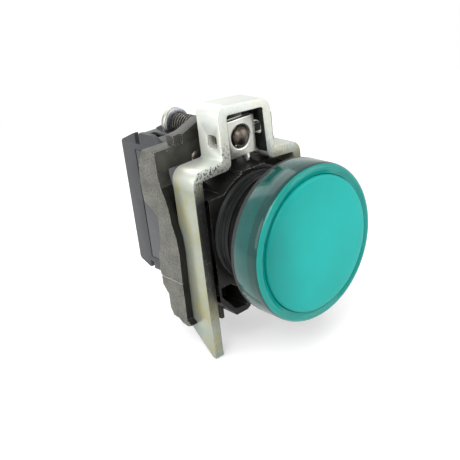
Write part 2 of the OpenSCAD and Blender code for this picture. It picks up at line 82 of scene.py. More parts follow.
def softenEdges(bm, width, segments=2, limit=30, edgeIndex=1):  # rounds the sharp edges, with the edge finish
    bm.normal_update()
    edges = [e for e in bm.edges if len(e.link_faces) == 2 and e.calc_face_angle(0) > math.radians(limit)]
    made = bmesh.ops.bevel(bm, geom=edges, offset=width * mm, offset_type="OFFSET", segments=segments,
                           profile=0.5, affect="EDGES", clamp_overlap=True, material=-1)
    for face in made["faces"]:
        face.material_index = edgeIndex
    return bm


def edgeMiddle(edge):
    return (edge.verts[0].co + edge.verts[1].co) * 0.5 / mm


def spinProfile(bm, points, steps=96, materialOf=None):  # points are (radius, y) in mm, turned about the light's axis
    verts = [bm.verts.new((r * mm, y * mm, 0)) for r, y in points]
    edges = [bm.edges.new((a, b)) for a, b in zip(verts, verts[1:])]
    bmesh.ops.spin(bm, geom=verts + edges, cent=(0, 0, 0), axis=(0, 1, 0), angle=2 * math.pi,
                   steps=steps, use_merge=True)
    bmesh.ops.remove_doubles(bm, verts=bm.verts[:], dist=1e-6)
    bmesh.ops.dissolve_degenerate(bm, dist=1e-7, edges=bm.edges[:])
    bmesh.ops.recalc_face_normals(bm, faces=bm.faces[:])
    if materialOf:
        for face in bm.faces:
            middle = face.calc_center_median() / mm
            face.material_index = materialOf(math.hypot(middle.x, middle.z), middle.y)
    return bm


def closedWire(name, points, radius, resolution=4):  # a round wire through the points, as a mesh
    curve = bpy.data.curves.new(name, "CURVE")
    curve.dimensions = "3D"
    curve.bevel_depth, curve.bevel_resolution, curve.use_fill_caps = radius * mm, resolution, True
    curve.resolution_u = 3
    line = curve.splines.new("NURBS")
    line.points.add(len(points) - 1)
    line.use_endpoint_u = True
    line.order_u = 3
    for point, place in zip(line.points, points):
        point.co = (place[0] * mm, place[1] * mm, place[2] * mm, 1)
    holder = bpy.data.objects.new(name, curve)
    bpy.context.scene.collection.objects.link(holder)
    bpy.context.view_layer.update()
    mesh = bpy.data.meshes.new_from_object(holder.evaluated_get(bpy.context.evaluated_depsgraph_get()))
    bpy.data.objects.remove(holder)
    bm = bmesh.new()
    bm.from_mesh(mesh)
    bpy.data.meshes.remove(mesh)
    bmesh.ops.remove_doubles(bm, verts=bm.verts[:], dist=1e-6)
    bmesh.ops.recalc_face_normals(bm, faces=bm.faces[:])
    return bm


def cutAway(bm, cutter):  # takes one closed mesh out of another
    holders = []
    for key, source in (("body", bm), ("cutter", cutter)):
        mesh = bpy.data.meshes.new(key)
        source.to_mesh(mesh)
        source.free()
        holder = bpy.data.objects.new(key, mesh)
        bpy.context.scene.collection.objects.link(holder)
        holders.append(holder)
    change = holders[0].modifiers.new("cut", "BOOLEAN")
    change.operation, change.solver, change.object = "DIFFERENCE", "EXACT", holders[1]
    bpy.context.view_layer.update()
    mesh = bpy.data.meshes.new_from_object(
        holders[0].evaluated_get(bpy.context.evaluated_depsgraph_get()))
    result = bmesh.new()
    result.from_mesh(mesh)
    for holder in holders:
        bpy.data.objects.remove(holder)
    bpy.data.meshes.remove(mesh)
    return result


def boxMesh(low, high, turn=None):
    bm = bmesh.new()
    bmesh.ops.create_cube(bm, size=1)
    size = [(b - a) * mm for a, b in zip(low, high)]
    middle = Vector([(a + b) * 0.5 * mm for a, b in zip(low, high)])
    bmesh.ops.scale(bm, vec=size, verts=bm.verts[:])
    if turn:
        bmesh.ops.rotate(bm, cent=(0, 0, 0), matrix=turn, verts=bm.verts[:])
    bmesh.ops.translate(bm, vec=middle, verts=bm.verts[:])
    return bm


def slabMesh(points, low, high):  # an (x, z) outline drawn at y = low and pushed to y = high
    bm = bmesh.new()
    verts = [bm.verts.new((x * mm, low * mm, z * mm)) for x, z in points]
    edges = [bm.edges.new((a, b)) for a, b in zip(verts, verts[1:] + verts[:1])]
    faces = bmesh.ops.contextual_create(bm, geom=edges)["faces"]
    pushed = bmesh.ops.extrude_face_region(bm, geom=faces)["geom"]
    bmesh.ops.translate(bm, vec=(0, (high - low) * mm, 0),
                        verts=[v for v in pushed if isinstance(v, bmesh.types.BMVert)])
    bmesh.ops.recalc_face_normals(bm, faces=bm.faces[:])
    return bm


def roundBends(bm, places, radius, segments=8):  # rounds the front-to-back edges at the given (x, z) corners
    edges = [e for e in bm.edges if abs(e.verts[0].co.y - e.verts[1].co.y) > 1 * mm
             and any(abs(edgeMiddle(e).x - x) < 0.02 and abs(edgeMiddle(e).z - z) < 0.02 for x, z in places)]
    bmesh.ops.bevel(bm, geom=edges, offset=radius * mm, offset_type="OFFSET", segments=segments,
                    profile=0.5, affect="EDGES", clamp_overlap=True, material=-1)
    return bm


# ---- materials

def startMaterial(name):
    material = bpy.data.materials.new(name)
    material.use_nodes = True
    tree = material.node_tree
    shader = tree.nodes["Principled BSDF"]
    coords = tree.nodes.new("ShaderNodeTexCoord")
    return material, tree, shader, coords.outputs["Object"]


def addNode(tree, kind, inputs=None, **settings):
    node = tree.nodes.new(kind)
    for key, value in settings.items():
        setattr(node, key, value)
    for key, value in (inputs or {}).items():
        if isinstance(value, bpy.types.NodeSocket):
            tree.links.new(value, node.inputs[key])
        else:
            node.inputs[key].default_value = value
    return node


def noise(tree, coords, scale, detail=4, rough=0.6, stretch=None, distort=0.0):
    source = coords
    if stretch:
        source = addNode(tree, "ShaderNodeMapping", {"Vector": coords, "Scale": stretch}).outputs[0]
    return addNode(tree, "ShaderNodeTexNoise", {"Vector": source, "Scale": scale, "Detail": detail,
                                                "Roughness": rough, "Distortion": distort}).outputs["Fac"]


def ramp(tree, factor, stops):
    node = addNode(tree, "ShaderNodeValToRGB", {"Fac": factor})
    elements = node.color_ramp.elements
    elements.remove(elements[1])
    elements[0].position = stops[0][0]
    for place, colour in stops[1:]:
        elements.new(place)
    for element, (place, colour) in zip(elements, stops):
        element.color = (*colour, 1)
    return node.outputs["Color"]


def mixColour(tree, factor, first, second, blend="MIX"):
    node = addNode(tree, "ShaderNodeMix", data_type="RGBA", blend_type=blend)
    for index, value in ((0, factor), (6, first), (7, second)):
        if isinstance(value, bpy.types.NodeSocket):
            tree.links.new(value, node.inputs[index])
        else:
            node.inputs[index].default_value = (*value, 1) if index and len(value) == 3 else value
    return node.outputs[2]


def span(tree, factor, low, high, fromLow=0.3, fromHigh=0.7):
    return addNode(tree, "ShaderNodeMapRange", {
        "Value": factor, "From Min": fromLow, "From Max": fromHigh,
        "To Min": low, "To Max": high}).outputs["Result"]


def sums(tree, operation, first, second=0.0):
    node = addNode(tree, "ShaderNodeMath", operation=operation)
    for index, value in enumerate((first, second)):
        if isinstance(value, bpy.types.NodeSocket):
            tree.links.new(value, node.inputs[index])
        else:
            node.inputs[index].default_value = value
    return node.outputs[0]


def along(tree, coords, axis):
    return addNode(tree, "ShaderNodeSeparateXYZ", {"Vector": coords}).outputs["XYZ".index(axis)]


def addBump(tree, shader, height, strength, distance, previous=None):
    node = addNode(tree, "ShaderNodeBump",
                   {"Height": height, "Strength": strength, "Distance": distance})
    if previous:
        tree.links.new(previous, node.inputs["Normal"])
    tree.links.new(node.outputs["Normal"], shader.inputs["Normal"])
    return node.outputs["Normal"]


def connect(tree, shader, **links):
    for key, value in links.items():
        tree.links.new(value, shader.inputs[key.replace("_", " ")])


def setShader(shader, **values):
    for key, value in values.items():
        socket = shader.inputs[key.replace("_", " ")]
        if isinstance(value, tuple) and len(value) < len(socket.default_value):
            value = (*value, 1)
        socket.default_value = value


def plainFinish(name, colour, rough, metal=0.0, vary=0.15, bump=0.0, scale=900.0, **more):
    material, tree, shader, coords = startMaterial(name)
    big = noise(tree, coords, scale * 0.25, 3)
    fine = noise(tree, coords, scale * 2.0, 3)
    dark = tuple(c * (1 - vary) for c in colour)
    light = tuple(min(c * (1 + vary), 1) for c in colour)
    connect(tree, shader, Base_Color=ramp(tree, big, [(0.35, dark), (0.65, light)]),
            Roughness=span(tree, fine, rough * 0.85, min(rough * 1.15, 1)))
    setShader(shader, Metallic=metal, **more)
    if bump:
        addBump(tree, shader, fine, bump, 0.00005)
    return material


castingTone = {"black": (0.006, 0.006, 0.0055), "sooty": (0.012, 0.012, 0.011),
               "side": (0.095, 0.097, 0.082), "sideLight": (0.155, 0.156, 0.133), "bar": (0.03, 0.0295, 0.025),
               "barLight": (0.06, 0.059, 0.05),
               "bare": (0.72, 0.69, 0.6)}


def castingFinish(name, kind):  # painted die-casting: black face, paler flanks, edges rubbed to the metal; the flanks' pale grey is partly the arms' own metal and partly painted light from the side
    material, tree, shader, coords = startMaterial(name)
    grain = noise(tree, coords, 2600, 4, 0.65)
    patch = noise(tree, coords, 320, 4, 0.6)
    worn = noise(tree, coords, 700, 5, 0.7)
    if kind == "face":
        colour = mixColour(tree, span(tree, patch, 0, 1, 0.35, 0.65), castingTone["black"], castingTone["sooty"])
        chip = span(tree, worn, 0, 1, 0.69, 0.72)
        colour = mixColour(tree, chip, colour, (0.09, 0.09, 0.085))
        rough = span(tree, patch, 0.36, 0.55)
    elif kind == "flank":
        # partly painted light: the arms' side faces get a paler grey, standing in for the side light on them
        colour = mixColour(tree, span(tree, patch, 0, 1, 0.35, 0.65), castingTone["side"], castingTone["sideLight"])
        colour = mixColour(tree, span(tree, grain, 0, 0.9, 0.5, 0.68), colour, (0.045, 0.045, 0.038))
        rough = span(tree, grain, 0.42, 0.62)
    elif kind == "bar":
        colour = mixColour(tree, span(tree, patch, 0, 1, 0.35, 0.65), castingTone["bar"], castingTone["barLight"])
        colour = mixColour(tree, span(tree, worn, 0, 1, 0.66, 0.7), colour, (0.2, 0.195, 0.17))
        rough = span(tree, patch, 0.4, 0.58)
    else:
        rub = span(tree, worn, 0, 1, 0.32, 0.5)
        colour = mixColour(tree, rub, (0.03, 0.03, 0.028), castingTone["bare"])
        rough = span(tree, grain, 0.3, 0.5)
    connect(tree, shader, Base_Color=colour, Roughness=rough)
    setShader(shader, Metallic=0.0 if kind == "face" else 0.35, Specular_IOR_Level=0.22 if kind == "face" else 0.5)
    addBump(tree, shader, grain, 0.35, 0.00003)
    return material


zincTone = {"pale": (0.36, 0.385, 0.31), "yellow": (0.36, 0.335, 0.165), "blue": (0.27, 0.31, 0.29),
            "speck": (0.22, 0.21, 0.17)}


def stripFinish(name, kind):  # zinc-plated strip: pale stained faces and sheared, burred edges, with painted light paling the upper part
    material, tree, shader, coords = startMaterial(name)
    cloud = noise(tree, coords, 130, 4, 0.6)
    stain = noise(tree, coords, 260, 4, 0.65, stretch=(1, 1, 0.5))
    speck = noise(tree, coords, 1500, 3, 0.6)
    fine = noise(tree, coords, 5000, 3)
    base = mixColour(tree, span(tree, cloud, 0, 1, 0.38, 0.66), zincTone["pale"], zincTone["blue"])
    base = mixColour(tree, span(tree, stain, 0, 0.85, 0.45, 0.6), base, zincTone["yellow"])
    # painted light: the strip is mixed towards near-white higher up, standing in for the light from above
    paintedTopLight = span(tree, along(tree, coords, "Z"), 0, 1, 0.0105, 0.015)
    base = mixColour(tree, paintedTopLight, base, mixColour(tree, 0.6, base, (0.92, 0.95, 0.91)))
    if kind == "broad":
        base = mixColour(tree, span(tree, speck, 0, 0.8, 0.7, 0.76), base, zincTone["speck"])
        rough = span(tree, cloud, 0.3, 0.46)
        addBump(tree, shader, fine, 0.15, 0.00002)
    else:
        height = along(tree, coords, "Z")
        torn = noise(tree, coords, 2300, 4, 0.7, stretch=(1, 1, 0.6))
        patch = noise(tree, coords, 420, 3, 0.6)
        amount = sums(tree, "MULTIPLY", span(tree, height, 0.15, 1, -0.019, 0.012),
                      span(tree, patch, 0.35, 1, 0.35, 0.6))
        amount = sums(tree, "MULTIPLY", amount, span(tree, height, 1, 0.12, 0.0145, 0.0185))
        amount = sums(tree, "MULTIPLY", amount, span(tree, along(tree, coords, "X"), 1, 0.3, -0.003, 0.004))
        black = sums(tree, "MULTIPLY", span(tree, torn, 0, 1, 0.5, 0.58), amount)
        base = mixColour(tree, black, base, (0.03, 0.03, 0.032))
        legDark = sums(tree, "MULTIPLY", span(tree, height, 1, 0, 0.008, 0.0125),
                       span(tree, height, 0, 1, -0.017, -0.009))
        legDark = sums(tree, "MULTIPLY", legDark, span(tree, torn, 0.95, 0.45, 0.55, 0.68))
        base = mixColour(tree, legDark, base, (0.02, 0.021, 0.023))
        rough = span(tree, torn, 0.28, 0.6)
        addBump(tree, shader, torn, 0.7, 0.00009)
    connect(tree, shader, Base_Color=base, Roughness=rough)
    setShader(shader, Metallic=0.5)
    return material


plasticTone = {"low": (0.024, 0.027, 0.029), "high": (0.042, 0.046, 0.048), "edge": (0.11, 0.12, 0.12)}


def mouldedFinish(name, low, high, rough=0.5):  # spark-eroded mould surface with faint handling marks
    material, tree, shader, coords = startMaterial(name)
    cloud = noise(tree, coords, 90, 4, 0.55)
    pits = addNode(tree, "ShaderNodeTexVoronoi", {"Vector": coords, "Scale": 3200.0}).outputs["Distance"]
    scuff = noise(tree, coords, 260, 5, 0.7, stretch=(1, 0.25, 1.5))
    colour = mixColour(tree, span(tree, cloud, 0, 1, 0.35, 0.65), low, high)
    colour = mixColour(tree, span(tree, scuff, 0, 0.35, 0.62, 0.72), colour,
                       tuple(min(c * 1.9, 1) for c in high))
    connect(tree, shader, Base_Color=colour,
            Roughness=sums(tree, "ADD", span(tree, scuff, 0, -0.12, 0.6, 0.75), rough))
    addBump(tree, shader, pits, 0.25, 0.00003)
    return material


lensTone = {"disc": (0.0, 0.34, 0.30), "discPale": (0.004, 0.42, 0.385), "clear": (0.012, 0.15, 0.135),
            "rim": (0.0, 0.36, 0.31)}


def lensDiscFinish():  # satin face: very fine grain, a few scratches, paler dust towards the edge, and painted shade darkening the left side
    material, tree, shader, coords = startMaterial("lensSatin")
    cloud = noise(tree, coords, 60, 3, 0.5)
    grain = noise(tree, coords, 7000, 2)
    scratch = noise(tree, coords, 160, 6, 0.75, stretch=(1, 1, 14), distort=0.4)
    colour = mixColour(tree, span(tree, cloud, 0, 1, 0.3, 0.7), lensTone["disc"], lensTone["discPale"])
    colour = mixColour(tree, span(tree, scratch, 0, 0.25, 0.73, 0.76), colour, (0.2, 0.6, 0.58))
    # painted shade: the face darkens towards its left side
    shade = span(tree, along(tree, coords, "X"), 0.62, 1.05, -0.0125, -0.002)
    colour = mixColour(tree, shade, (0.0, 0.0, 0.0), colour)
    connect(tree, shader, Base_Color=colour, Roughness=span(tree, cloud, 0.4, 0.5))
    setShader(shader, Subsurface_Weight=0.2, Subsurface_Radius=(0.3, 1.0, 1.0), Subsurface_Scale=0.0012,
              IOR=1.33)
    addBump(tree, shader, grain, 0.12, 0.00001)
    return material


def lensClearFinish(name, colour, rough, passing):
    material, tree, shader, coords = startMaterial(name)
    smear = noise(tree, coords, 180, 4, 0.6)
    tint = mixColour(tree, span(tree, smear, 0, 1, 0.35, 0.7), colour, tuple(min(c * 1.12 + 0.01, 1) for c in colour))
    connect(tree, shader, Base_Color=tint, Roughness=span(tree, smear, rough * 0.8, rough * 1.3))
    setShader(shader, Transmission_Weight=passing, IOR=1.36)
    return material


def turnedFinish(name, colour, rough, metal, pitch, strength, axisPlace=(0, 0, 0), vary=0.2,
                 shine=0.5):  # fine rings left by a lathe
    material, tree, shader, coords = startMaterial(name)
    placed = addNode(tree, "ShaderNodeMapping", {
        "Vector": coords, "Location": tuple(-a * mm for a in axisPlace)}).outputs[0]
    parts = addNode(tree, "ShaderNodeSeparateXYZ", {"Vector": placed})
    flatAway = addNode(tree, "ShaderNodeCombineXYZ", {"X": parts.outputs[0], "Z": parts.outputs[2]}).outputs[0]
    radius = addNode(tree, "ShaderNodeVectorMath", {0: flatAway}, operation="LENGTH").outputs["Value"]
    travel = sums(tree, "ADD", radius, parts.outputs[1])
    rings = sums(tree, "SINE", sums(tree, "MULTIPLY", travel, 2 * math.pi / (pitch * mm)))
    mottled = noise(tree, coords, 500, 4)
    dark = tuple(c * (1 - vary) for c in colour)
    light = tuple(min(c * (1 + vary), 1) for c in colour)
    connect(tree, shader, Base_Color=mixColour(tree, span(tree, mottled, 0, 1, 0.35, 0.65), dark, light),
            Roughness=span(tree, mottled, rough * 0.85, rough * 1.2))
    setShader(shader, Metallic=metal, Specular_IOR_Level=shine)
    addBump(tree, shader, rings, strength, 0.00002)
    return material


def resistorFinish():  # beige body with colour bands along its length
    material, tree, shader, coords = startMaterial("resistorBody")
    height = along(tree, coords, "Z")
    place = span(tree, height, 0, 1, -0.0026, 0.0038)
    body, red, gold = (0.55, 0.40, 0.22), (0.45, 0.02, 0.01), (0.45, 0.28, 0.05)
    bands = ramp(tree, place, [(0.0, body), (0.16, red), (0.24, body), (0.36, (0.25, 0.05, 0.3)), (0.44, body),
                               (0.56, red), (0.64, body), (0.80, gold), (0.88, body)])
    bands.node.color_ramp.interpolation = "CONSTANT"
    mark = noise(tree, coords, 1500, 3)
    connect(tree, shader, Base_Color=bands, Roughness=span(tree, mark, 0.35, 0.5))
    addBump(tree, shader, mark, 0.1, 0.00003)
    return material


def boardFinish():  # green lacquer over copper tracks
    material, tree, shader, coords = startMaterial("boardGreen")
    tracks = addNode(tree, "ShaderNodeTexBrick", {
        "Vector": addNode(tree, "ShaderNodeMapping", {"Vector": coords, "Rotation": (0, math.pi / 2, 0)}).outputs[0],
        "Color1": (0.01, 0.10, 0.03, 1), "Color2": (0.012, 0.12, 0.035, 1), "Mortar": (0.03, 0.22, 0.06, 1),
        "Scale": 300.0, "Mortar Size": 0.02})
    dust = noise(tree, coords, 900, 3)
    connect(tree, shader, Base_Color=tracks.outputs["Color"], Roughness=span(tree, dust, 0.25, 0.4))
    addBump(tree, shader, tracks.outputs["Fac"], 0.2, 0.00003)
    return material


castingFace = castingFinish("castingFace", "face")
castingLitFlank = castingFinish("castingLitFlank", "flank")
castingWorn = castingFinish("castingWorn", "worn")
castingBar = castingFinish("castingBar", "bar")
stripBroad = stripFinish("stripBroad", "broad")
stripSheared = stripFinish("stripSheared", "sheared")
housingGrey = mouldedFinish("housingGrey", plasticTone["low"], plasticTone["high"])
housingEdge = mouldedFinish("housingEdge", plasticTone["high"], plasticTone["edge"], 0.42)
coverGrey = mouldedFinish("coverGrey", (0.032, 0.036, 0.039), (0.055, 0.06, 0.063), 0.46)
latchGrey = mouldedFinish("latchGrey", (0.05, 0.055, 0.06), (0.08, 0.086, 0.09), 0.45)
screwZinc = turnedFinish("screwZinc", (0.42, 0.41, 0.355), 0.28, 1.0, 0.12, 0.25, (0, 0, 17))
# painted shade: a dark copy of the screw finish for the thread's roots and front-facing flanks
screwThreadShade = turnedFinish("screwThreadShade", (0.05, 0.047, 0.042), 0.5, 0.8, 0.12, 0.2, (0, 0, 17))
screwTipBronze = turnedFinish("screwTipBronze", (0.14, 0.12, 0.10), 0.3, 1.0, 0.2, 0.3, (0, 0, 17))
# painted shade: a dark metal for the faces inside the stirrup's loop
stripInsideShade = plainFinish("stripInsideShade", (0.06, 0.068, 0.066), 0.34, 0.85, vary=0.3, bump=0.15, scale=1000)
plateZinc = plainFinish("plateZinc", (0.58, 0.59, 0.53), 0.33, 0.9, vary=0.12, bump=0.2, scale=1200)
# painted shade: near-black for the plate's ears, standing in for the shade they sit in
earShade = plainFinish("earShade", (0.018, 0.018, 0.017), 0.6, vary=0.2, bump=0.2)
# painted highlight: a paler zinc for the plate's rounded edges, feet and tongue, standing in for their glints
plateEdgeHighlight = plainFinish("plateEdgeHighlight", (0.8, 0.81, 0.78), 0.28, 0.9, vary=0.1, bump=0.1, scale=2000)
washerBlue = turnedFinish("washerBlue", (0.34, 0.36, 0.395), 0.3, 1.0, 0.1, 0.2, (0, 0, 17))
ringSteel = plainFinish("ringSteel", (0.36, 0.32, 0.29), 0.38, 0.8, vary=0.18, bump=0.3, scale=1500)
ringEdge = plainFinish("ringEdge", (0.55, 0.5, 0.45), 0.32, 0.9, vary=0.15, bump=0.2, scale=1800)
wireBronze = plainFinish("wireBronze", (0.42, 0.36, 0.29), 0.3, 1.0, vary=0.2, bump=0.15, scale=2500)
pinDark = turnedFinish("pinDark", (0.08, 0.08, 0.078), 0.32, 0.8, 0.1, 0.3, (-6, 0, 14.25))
barrelBlack = turnedFinish("barrelBlack", (0.008, 0.009, 0.009), 0.46, 0.0, 0.3, 0.06, shine=0.2)
barrelEdge = turnedFinish("barrelEdge", (0.03, 0.031, 0.031), 0.36, 0.0, 0.3, 0.05, shine=0.3)
bezelChrome = turnedFinish("bezelChrome", (0.62, 0.64, 0.64), 0.16, 1.0, 0.4, 0.02, vary=0.05)
clipSteel = plainFinish("clipSteel", (0.72, 0.73, 0.70), 0.3, 0.85, vary=0.12, bump=0.2, scale=1600)
lensDisc = lensDiscFinish()
lensClear = lensClearFinish("lensClear", lensTone["clear"], 0.14, 0.55)
lensEdge = lensClearFinish("lensEdge", (0.01, 0.07, 0.062), 0.14, 0.35)
lensRim = lensClearFinish("lensRim", lensTone["rim"], 0.14, 0.35)
brass = plainFinish("terminalBrass", (0.65, 0.48, 0.18), 0.3, 1.0, bump=0.1)

finishes = {
    "gasket": plainFinish("gasketRubber", (0.02, 0.02, 0.021), 0.7, bump=0.3),
    "chrome": bezelChrome,
    "lens": lensDisc,
    "seal": plainFinish("sealRubber", (0.015, 0.015, 0.015), 0.6, bump=0.2),
    "diffuser": plainFinish("diffuserWhite", (0.8, 0.82, 0.8), 0.5, vary=0.03, bump=0.1),
    "barrel": barrelBlack,
    "casting": castingFace,
    "spring_steel": wireBronze,
    "zinc_strip": stripBroad,
    "zinc_screw": screwZinc,
    "washer": washerBlue,
    "housing": housingGrey,
    "latch": latchGrey,
    "board": boardFinish(),
    "lamp": lensClearFinish("lampResin", (0.35, 0.85, 0.82), 0.08, 0.8),
    "resistor": resistorFinish(),
    "capacitor": plainFinish("capacitorBlue", (0.02, 0.06, 0.3), 0.25, bump=0.1),
    "brass": brass,
}
for part in frame["record"]["subparts"]:
    node = nodes[part["node"]]
    node.data.materials.clear()
    node.data.materials.append(finishes[part["material_slot"]])
print("stage: finishes made")

# ---- lens: a clear tinted skirt and rim round a satin face

lensSet = {
    "steps": 256,
    "face": [(0, -7.03), (4.0, -7.02), (8.0, -6.995), (11.0, -6.96), (11.9, -6.9), (12.3, -6.78), (12.47, -6.55),
             (12.49, -6.3), (12.49, -6.05)],
    "outside": [(12.53, -6.05), (12.6, -6.28), (13.2, -6.42), (13.36, -6.62), (13.55, -6.665), (13.8, -6.6),
                (14.1, -6.42), (14.32, -6.15), (14.45, -5.85), (14.5, -5.5), (14.5, -4.1), (14.5, -0.85),
                (14.44, -0.7), (14.3, -0.65),
                (13.96, -0.65), (13.96, -1.58), (13.42, -1.6), (13.42, -5.0), (12.9, -5.72), (12.49, -5.78)],
}


def skirtMaterial(r, y):  # clear at the back, tinted on the rim, dark at the rim's two edges
    if y < -5.4:
        return 2 if r < 12.62 or (r > 14.25 and y > -6.2) else 1
    return 2 if r > 14.4 and y < -4.2 else 0


def makeLens():
    bm = bmesh.new()
    spinProfile(bm, lensSet["face"] + [(12.3, -5.85), (0, -5.85)], lensSet["steps"])
    newPiece("lensFace", bm, "lens", [lensDisc], ("lens_cap",), 40)
    bm = bmesh.new()
    outline = lensSet["outside"] + [lensSet["outside"][0]]
    spinProfile(bm, outline, lensSet["steps"], skirtMaterial)
    newPiece("lensSkirt", bm, "lens", [lensClear, lensRim, lensEdge], ("lens_cap",), 40)


makeLens()

# ---- bezel ring seen through the skirt

bezelSet = {"outline": [(12.24, -0.62), (12.24, -3.3), (12.34, -3.52), (12.6, -3.65), (12.95, -3.62), (13.2, -3.42),
                        (13.34, -3.05), (13.34, -1.0), (13.3, -0.65), (13.22, -0.62)]}


def makeBezel():
    bm = bmesh.new()
    spinProfile(bm, bezelSet["outline"] + [bezelSet["outline"][0]], 96)
    newPiece("bezelLip", bm, "light", [bezelChrome], ("bezel_ring",), 30)


makeBezel()
print("stage: lens and bezel made")

# ---- barrel with turned grooves and a shallow key recess

barrelSet = {"radius": 10.75,
             "grooves": [(4.8, 0.42, 0.28), (5.95, 0.14, 0.09), (6.8, 0.14, 0.09), (7.4, 0.14, 0.09)]}


def makeBarrel():
    s = barrelSet
    cuts = bmesh.new()
    for y, width, depth in s["grooves"]:
        inner, outer, a, b = s["radius"] - depth, s["radius"] + 0.5, y - width / 2, y + width / 2
        ring = spinProfile(bmesh.new(), [(inner, a), (outer, a), (outer, b), (inner, b), (inner, a)], 128)
        mesh = bpy.data.meshes.new("ring")
        ring.to_mesh(mesh)
        ring.free()
        cuts.from_mesh(mesh)
        bpy.data.meshes.remove(mesh)
    bm = cutAway(softenEdges(mergedCopy("head_body"), 0.12), cuts)
    newPiece("barrelShell", bm, "light", [barrelBlack, barrelEdge], ("head_body",))


makeBarrel()

# ---- collar casting: black faces, pale flanks on the arms (partly painted light from the side), rubbed edges

collarSet = {"edge": 0.17, "flankReach": 14.0, "lineReach": (14.6, 14.98), "barStart": (17, 9),
             "endTrim": [(14.25, 18), (14.25, 12), (15.05, 9.5), (16, 9.5), (16, 18)]}


def makeCollar():
    lineReach, barStart = collarSet["lineReach"], collarSet["barStart"]
    bm = cutAway(mergedCopy("collar_body"), slabMesh(collarSet["endTrim"], 16.5, 22))
    bm = softenEdges(bm, collarSet["edge"], edgeIndex=2)
    for face in bm.faces:
        middle = face.calc_center_median() / mm
        # side faces of the arms take the paler flank grey, partly painted light from the side
        if face.material_index == 0 and abs(face.normal.x) > 0.9 and abs(middle.x) > collarSet["flankReach"]:
            face.material_index = 1
        elif face.material_index == 0 and lineReach[0] < abs(middle.x) < lineReach[1] and abs(face.normal.z) > 0.5:
            face.material_index = 2
        elif face.material_index == 0 and middle.y > barStart[0] and middle.z > barStart[1]:
            face.material_index = 3
    newPiece("collarCasting", bm, "light", [castingFace, castingLitFlank, castingWorn, castingBar], ("collar_body",))


makeCollar()
print("stage: barrel and collar made")

# ---- clamp: bent strip, pressed plate, screw and washer

screwHeight = 17.0
stripSet = {
    "outer": [(-13.4, -23.4), (-13.4, 14.1), (-6.25, 14.25), (-6.25, 24.2), (6.4, 23.05), (6.5, 13.5), (13.4, 12.9),
              (13.4, -23.4)],
    "inner": [(11.37, -23.4), (11.37, 10.95), (4.75, 11.5), (4.35, 21.55), (-4.22, 22.1), (-4.22, 12.3),
              (-11.37, 12.15), (-11.37, -23.4)],
    "depth": (9.18, 15.25), "bendOut": 2.2, "bendIn": 0.5, "kneeOut": 2.4, "kneeIn": 0.45, "edge": 0.14,
    "window": ((10.3, 16.4), (12.8, 18.8)), "windowRound": 0.6,
    "shadeReach": 4.6, "shadeLow": 13.2, "tipPlace": (0, 15.25, -18.5), "tipAway": (0, 4.9, -5.27),
}


def makeStirrup():
    s = stripSet
    bm = slabMesh(s["outer"] + s["inner"], *s["depth"])
    roundBends(bm, [s["outer"][3], s["outer"][4]], s["bendOut"], 10)
    roundBends(bm, [s["inner"][3], s["inner"][4]], s["bendIn"], 4)
    roundBends(bm, [s["outer"][1], s["outer"][6]], s["kneeOut"], 8)
    roundBends(bm, [s["outer"][2], s["outer"][5], s["inner"][1], s["inner"][6]], s["kneeIn"], 4)
    roundBends(bm, [s["inner"][2], s["inner"][5]], 1.5, 6)
    bmesh.ops.bisect_plane(bm, geom=bm.verts[:] + bm.edges[:] + bm.faces[:],
                           plane_co=[v * mm for v in s["tipPlace"]], plane_no=s["tipAway"], clear_outer=True)
    bmesh.ops.holes_fill(bm, edges=[e for e in bm.edges if e.is_boundary], sides=0)
    bmesh.ops.recalc_face_normals(bm, faces=bm.faces[:])
    (y0, z0), (y1, z1) = s["window"]
    window = boxMesh((-9, y0, z0), (9, y1, z1))
    sides = [e for e in window.edges if abs(e.verts[0].co.x - e.verts[1].co.x) > 5 * mm]
    bmesh.ops.bevel(window, geom=sides, offset=s["windowRound"] * mm, offset_type="OFFSET", segments=5, profile=0.5,
                    affect="EDGES", material=-1)
    bm = cutAway(bm, window)
    softenEdges(bm, s["edge"], 2, limit=40)
    for face in bm.faces:
        middle = face.calc_center_median() / mm
        if face.material_index == 0 and abs(face.normal.y) > 0.8:
            face.material_index = 1
        elif abs(middle.x) < s["shadeReach"] and middle.z > s["shadeLow"]:
            # painted shade: faces turned inwards in the loop get the dark inside metal
            if middle.x * face.normal.x + (middle.z - screwHeight) * face.normal.z < -0.1:
                face.material_index = 2
    newPiece("stirrupStrip", bm, "clamp", [stripBroad, stripSheared, stripInsideShade], ("clamp_stirrup",))


plateSet = {"front": 10.8, "rear": 12.3, "half": 3.55, "low": 13.3, "high": 20.4, "edge": 0.16, "bore": 2.02,
            "sink": 2.35, "earReach": 5.3, "earHeights": (16.75, 18.45), "earDepths": (11.0, 12.15),
            "footSides": (3.3, 4.12), "footHeights": (13.1, 13.65), "footDepths": (11.0, 12.2),
            "tongue": ((0.95, 11.0, 11.95), (1.75, 11.9, 13.5))}


